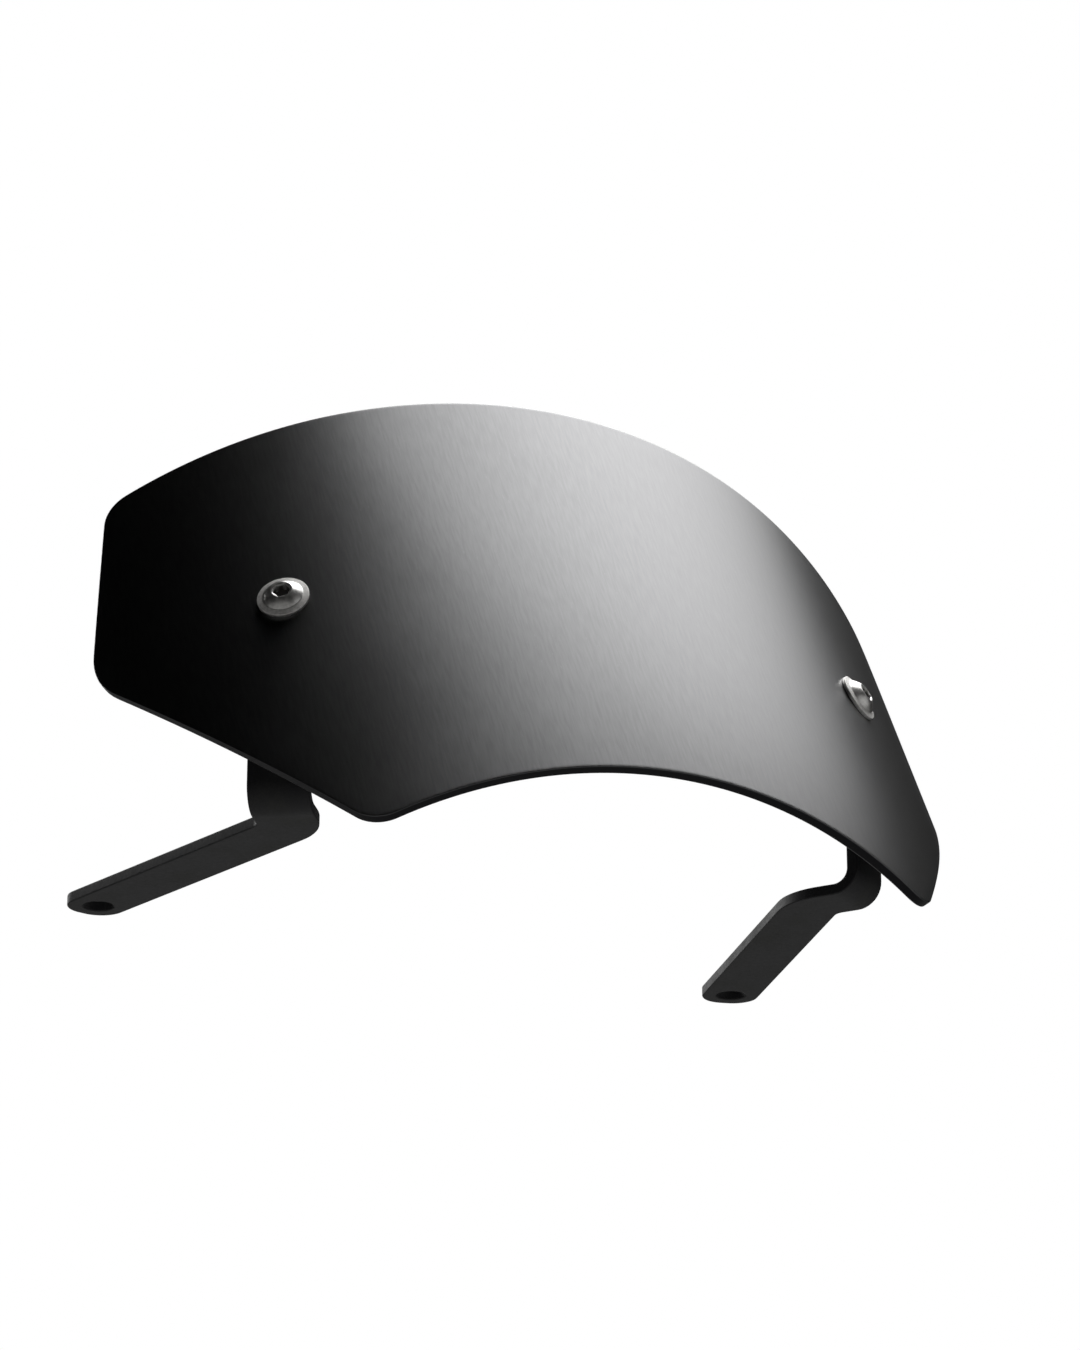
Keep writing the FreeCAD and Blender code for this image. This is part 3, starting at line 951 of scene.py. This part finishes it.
def moulded_material(name, colour, worn_colour, roughness, depth):
    """A moulded finish: scuffs change its colour and gloss, and a fine grain its surface."""
    material, paint = new_material(name)
    own = paint.node("ShaderNodeAttribute", {"attribute_name": "own_place"}, output="Vector")
    scuffs = smooth_step(grains(own, SCUFF, detail=4.0), *SCUFF_LEVELS)
    grain = grains(own, MOULD_GRAIN)
    finish_material(paint, {
        "Base Color": mix_colours(scuffs, colour, worn_colour),
        "Roughness": roughness + scuffs * SCUFF_ROUGHER + stray(grain, GRAIN_GLOSS),
        "Normal": raised(grain, depth),
    })
    return material


nylon = moulded_material("blue_nylon", NYLON, NYLON_SCUFFED, NYLON_ROUGHNESS, NYLON_GRAIN_DEPTH)
rubber = moulded_material("black_rubber", RUBBER, RUBBER_WORN, RUBBER_ROUGHNESS, RUBBER_GRAIN_DEPTH)
print("moulded finishes:", nylon.name, rubber.name)

# %% Nylon rings and rubber spacers
RING_EDGE = 0.15 * MM
SPACER = 16 * MM
SPACER_EDGE = 0.5 * MM
SPACER_ROWS = 4

ring, rows = lathe([circle(BORE, hex_end), circle(LOCK_RING, hex_end), circle(LOCK_RING, NUT_END - NUT_LIP),
                    circle(BORE, NUT_END - NUT_LIP)], closed=True)
weigh_edges(ring, rows)
set_pair("nylon_ring", ring, RING_EDGE, nylon)


def against_sheet(diameter):
    """A row that follows the hollow back of the rolled sheet."""
    def row(angle):
        sideways = diameter / 2 * math.cos(angle)
        return diameter / 2, ROLL_RADIUS - math.sqrt((ROLL_RADIUS - SHEET) ** 2 - sideways ** 2)
    return row


widths = [BORE + (SPACER - BORE) * k / SPACER_ROWS for k in range(SPACER_ROWS + 1)]
spacer, rows = lathe([against_sheet(width) for width in widths]
                     + [circle(SPACER, PAD_FRONT), circle(BORE, PAD_FRONT)], closed=True)
weigh_edges(spacer, rows)
set_pair("rubber_spacer", spacer, SPACER_EDGE, rubber)

# %% [markdown]
# The brackets' finish is black powder coat. The powder melts into a skin that is slightly wavy, like the
# peel of an orange, and fairly dull, with a trace of dust. A picture of such a skin would need unwrapping,
# so soft noise in Object coordinates makes the waves and the dust.

# %% Powder coat finish
COAT = (0.008, 0.008, 0.009, 1)
COAT_DUSTY = (0.018, 0.018, 0.017, 1)
COAT_ROUGHNESS = 0.55
COAT_GLOSS = 0.2
PEEL = Vector((1.3, 1.3, 1.3)) * MM
PEEL_GLOSS = 0.10
PEEL_DEPTH = 0.05 * MM
PEEL_STRENGTH = 0.6
DUST = Vector((14, 14, 14)) * MM
DUST_SHARE = 0.7
FINE_DUST = Vector((0.4, 0.4, 0.4)) * MM
FINE_DUST_SHARE = 0.3
DUST_LEVELS = (0.45, 0.7)
DUST_ROUGHER = 0.15

powder_coat, paint = new_material("black_powder_coat")
place = paint.node("ShaderNodeTexCoord", output="Object")
peel = grains(place, PEEL, detail=1.0)
films = grains(place, DUST, detail=3.0) * DUST_SHARE + grains(place, FINE_DUST) * FINE_DUST_SHARE
dust = smooth_step(films, *DUST_LEVELS)
finish_material(paint, {
    "Base Color": mix_colours(dust, COAT, COAT_DUSTY),
    "Roughness": COAT_ROUGHNESS + dust * DUST_ROUGHER + stray(peel, PEEL_GLOSS),
    "Specular IOR Level": COAT_GLOSS,
    "Normal": raised(peel, PEEL_DEPTH, PEEL_STRENGTH),
})
print("powder coat nodes:", len(powder_coat.node_tree.nodes))

# %% [markdown]
# Each bracket is one strip of steel. A maker cuts it flat, with its elbow and its two holes, and folds it
# twice on a press: once below the pad that sits behind the screw, and once at the foot, where the arm runs
# back to its bolt. Here it is made in the same order, so the folds keep the strip's thickness. First come
# the lines of the folded strip in space, from the place of the screw.

# %% Lines of the folded strip
STRIP_WIDTH = 16 * MM
STRIP_END_ROUND = 7 * MM
FOLD_RADIUS = 4 * MM
PAD_ABOVE = 11 * MM
PAD_BELOW = 20 * MM
ELBOW_REACH = 17 * MM
ELBOW_RADIUS = 12 * MM
BOLT = Vector((96, 0, 0)) * MM
BOLT_HOLE = 8.5 * MM
UP = Vector((0, 0, 1))

lean_turn = Matrix.Rotation(-SHEET_LEAN, 3, "X")
screw_angle = SCREW_SPOT.x / ROLL_RADIUS
screw_sine, screw_cosine = math.sin(screw_angle), math.cos(screw_angle)
around = Vector((ROLL_RADIUS * screw_sine, ROLL_RADIUS * (1 - screw_cosine), SCREW_SPOT.y))
seat = SHEET_FOOT + lean_turn @ around
inward = lean_turn @ Vector((-screw_sine, screw_cosine, 0))
back = Vector((inward.x, inward.y, 0)).normalized()
pad_down = inward.cross(UP.cross(back)).normalized() * -1
across = pad_down.cross(inward)
pad_top = seat + inward * PAD_FRONT - pad_down * PAD_ABOVE
pad_foot = pad_top + pad_down * (PAD_ABOVE + PAD_BELOW)
pad_fold = pad_down.angle(-UP)
elbow = Vector((pad_foot.x, pad_foot.y, 0)) + back * ELBOW_REACH
print("pad fold, degrees:", round(math.degrees(pad_fold), 1), "leg, mm:", round(pad_foot.z / MM, 1))

# %% [markdown]
# The strip unfolded. A fold uses up length along the middle of the metal, so each fold takes its angle
# times the radius there, and the straight runs lose what the fold covers of them. That is how a press shop
# finds the length to cut, and it brings both holes to their places after folding.

# %% Flat pattern of the strip
fold_middle = FOLD_RADIUS + STRIP / 2
fold_outside = FOLD_RADIUS + STRIP
pad_tangent = fold_outside * math.tan(pad_fold / 2)
foot_tangent = fold_outside * math.tan(math.pi / 4)
pad_fold_start = PAD_ABOVE + PAD_BELOW - pad_tangent
pad_fold_end = pad_fold_start + fold_middle * pad_fold
foot_fold_start = pad_fold_end + pad_foot.z - pad_tangent - foot_tangent
foot_fold_end = foot_fold_start + fold_middle * math.pi / 2
flat_elbow = Vector((foot_fold_end + ELBOW_REACH - foot_tangent, 0))
to_bolt = Vector(((BOLT - elbow).dot(back), (BOLT - elbow).dot(across)))
flat_bolt = flat_elbow + to_bolt
flat_end = flat_bolt + to_bolt.normalized() * (STRIP_WIDTH / 2)
print("flat strip, mm:", round((flat_elbow.x + (flat_end - flat_elbow).length) / MM, 1))

# %% Outline of the strip
def round_corners(corners):
    """Bends of an outline from its corners, anticlockwise, each with its rounding."""
    bends = []
    points = [point for point, rounding in corners]
    for k, (point, rounding) in enumerate(corners):
        ways = [(point - points[k - 1]).normalized(), (points[(k + 1) % len(points)] - point).normalized()]
        start, end = [angle_of(Vector((way.y, -way.x))) for way in ways]
        turn = (end - start + math.pi) % (2 * math.pi) - math.pi
        radius = math.copysign(rounding, turn)
        middle = facing(start + turn / 2)
        bends.append((point - middle * (radius / math.cos(turn / 2)), radius, start, start + turn))
    return bends


half_strip = STRIP_WIDTH / 2
arm_way = to_bolt.normalized()
arm_left = Vector((-arm_way.y, arm_way.x))
mitre = (Vector((0, 1)) + arm_left) / (1 + arm_left.y) * half_strip
turn_side = math.copysign(half_strip, to_bolt.y)
strip_outline = trace(round_corners([
    (Vector((0, -half_strip)), STRIP_END_ROUND),
    (flat_elbow - mitre, ELBOW_RADIUS + turn_side),
    (flat_end - arm_left * half_strip, STRIP_END_ROUND),
    (flat_end + arm_left * half_strip, STRIP_END_ROUND),
    (flat_elbow + mitre, ELBOW_RADIUS - turn_side),
    (Vector((0, half_strip)), STRIP_END_ROUND),
]))
print("strip outline points:", len(strip_outline))

# %% [markdown]
# The fold is a rule as well: before the fold nothing moves, inside it the strip goes round the fold's
# axis, and after it the rest swings on as a straight piece. The tree uses the same node group twice, the
# foot first, and then lays the folded strip along its lines in space. The left bracket is the mirror image
# of the right one, and mirroring turns faces inside out, so they are flipped back.

# %% The rule of a fold
fold_inputs = {"Place": VECTOR, "Start": NUMBER, "Angle": NUMBER, "Inner radius": NUMBER,
               "Thickness": NUMBER}
fold, given = new_tree("fold", fold_inputs, {"Place": VECTOR})
along, sideways, out = split(given["Place"])
neutral = given["Inner radius"] + given["Thickness"] / 2
axis_height = given["Inner radius"] + given["Thickness"]
beyond = along - given["Start"]
bend = fold.node("ShaderNodeClamp", None, {"Value": beyond / neutral, "Min": 0.0, "Max": given["Angle"]})
straight = beyond - bend * neutral
sine, cosine = fold.math("SINE", bend), fold.math("COSINE", bend)
swing = axis_height + out
folded_along = given["Start"] + swing * sine + straight * cosine
folded_out = swing * cosine - straight * sine - axis_height
fold.node("NodeGroupOutput", None, {"Place": combine(folded_along, sideways, folded_out)})
print("fold rule nodes:", len(fold.tree.nodes))

# %% Tree that folds a bracket and adds its mirror image
bracket_inputs = {"Geometry": GEOMETRY, "Thickness": NUMBER, "Inner radius": NUMBER, "Pad fold": NUMBER,
                  "Pad fold start": NUMBER, "Foot fold start": NUMBER, "Pad top": VECTOR,
                  "Down the pad": VECTOR, "Across": VECTOR, "Out of the pad": VECTOR, "Finish": MATERIAL}
press, given = new_tree("fold_brackets", bracket_inputs, {"Geometry": GEOMETRY})
press_tool = {"Inner radius": given["Inner radius"], "Thickness": given["Thickness"]}
foot_done = press.node("GeometryNodeGroup", {"node_tree": fold.tree},
                       {"Place": press.node("GeometryNodeInputPosition"), "Angle": math.pi / 2,
                        "Start": given["Foot fold start"], **press_tool})
both_done = press.node("GeometryNodeGroup", {"node_tree": fold.tree},
                       {"Place": foot_done, "Angle": given["Pad fold"],
                        "Start": given["Pad fold start"], **press_tool})
laid = given["Pad top"]
for distance, name in zip(split(both_done), ("Down the pad", "Across", "Out of the pad")):
    step = press.node("ShaderNodeVectorMath", {"operation": "SCALE"}, {0: given[name], "Scale": distance})
    laid = vector_maths("ADD", laid, step)
right = press.node("GeometryNodeSetPosition", None, {"Geometry": given["Geometry"], "Position": laid})
mirrored_right = press.node("GeometryNodeTransform", None, {"Geometry": right, "Scale": (-1, 1, 1)})
left = press.node("GeometryNodeFlipFaces", None, {"Mesh": mirrored_right})
joined = press.node("GeometryNodeJoinGeometry", None, {"Geometry": [right, left]})
close_tree(joined, given["Finish"])
print("bracket nodes:", len(press.tree.nodes))

# %% Brackets
STRIP_RIM = 0.4 * MM
PAD_FOLD_STRIPS = 5
FOOT_FOLD_STRIPS = 10

flat_pad_hole = Vector((PAD_ABOVE, 0))
strip = make_plate([strip_outline, round_hole(flat_pad_hole, HOLE), round_hole(flat_bolt, BOLT_HOLE)],
                   STRIP, STRIP_RIM)
cut_strips(strip, pad_fold_start, pad_fold_end, PAD_FOLD_STRIPS)
cut_strips(strip, foot_fold_start, foot_fold_end, FOOT_FOLD_STRIPS)
mark_sharp(strip)
blank = flat_object("mount_brackets", strip, powder_coat)
shape_by(blank, press, {
    "Thickness": STRIP, "Inner radius": FOLD_RADIUS, "Pad fold": pad_fold, "Pad fold start": pad_fold_start,
    "Foot fold start": foot_fold_start, "Pad top": pad_top, "Down the pad": pad_down, "Across": across,
    "Out of the pad": inward * -1, "Finish": powder_coat})
steady_shading(blank)
settle(blank, "mount_brackets", ["bracket_right", "bracket_left"])

# %% [markdown]
# Last, the size of the dressed part is set beside the size of the solids, because the finishes must not
# make it larger.

# %% Compare the sizes and finish
visual_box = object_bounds()
growth = [dressed - solid for dressed, solid in zip(visual_box, cad_box)]
print("corners moved by, mm:", [[round(length / MM, 2) for length in corner] for corner in growth])
